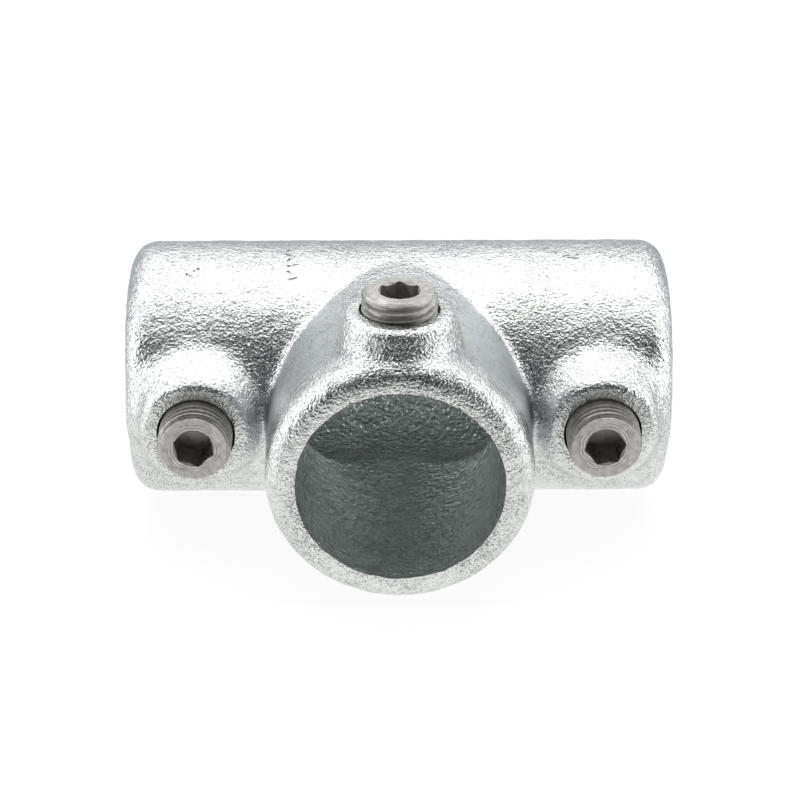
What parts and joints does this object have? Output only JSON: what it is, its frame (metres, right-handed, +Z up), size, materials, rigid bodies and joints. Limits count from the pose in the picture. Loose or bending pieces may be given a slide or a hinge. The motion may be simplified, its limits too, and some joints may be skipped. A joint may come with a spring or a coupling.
{
  "type": "tube clamp tee fitting",
  "caption": "Cast iron tee that clamps a branch tube square to a run tube, with a through run socket, an open branch socket and a set screw in a raised boss at each socket mouth.",
  "frame": {"origin": "where the axes of the run bore and the branch bore cross", "axes": "+X along the run bore, -Y out of the branch mouth, +Z up through the branch's set screw"},
  "size_m": [0.097, 0.0697, 0.0534],
  "materials": {
    "galvanised_casting": "hot-dip galvanised, grainy satin zinc",
    "set_screw_steel": "machined, dull grey"
  },
  "bodies": {
    "casting": {"tee_body": "galvanised_casting"},
    "left_screw": {"run_screw_left": "set_screw_steel"},
    "right_screw": {"run_screw_right": "set_screw_steel"},
    "branch_set_screw": {"branch_screw": "set_screw_steel"}
  },
  "joints": [
    {"name": "left_screw_travel", "type": "slide", "parent": "casting", "child": "left_screw", "axis": [0, -1, 0], "range_m": [-0.00535, 0.00535]},
    {"name": "right_screw_travel", "type": "slide", "parent": "casting", "child": "right_screw", "axis": [0, -1, 0], "range_m": [-0.00535, 0.00535]},
    {"name": "branch_screw_travel", "type": "slide", "parent": "casting", "child": "branch_set_screw", "axis": [0, 0, 1], "range_m": [-0.00267, 0.00668]}
  ]
}
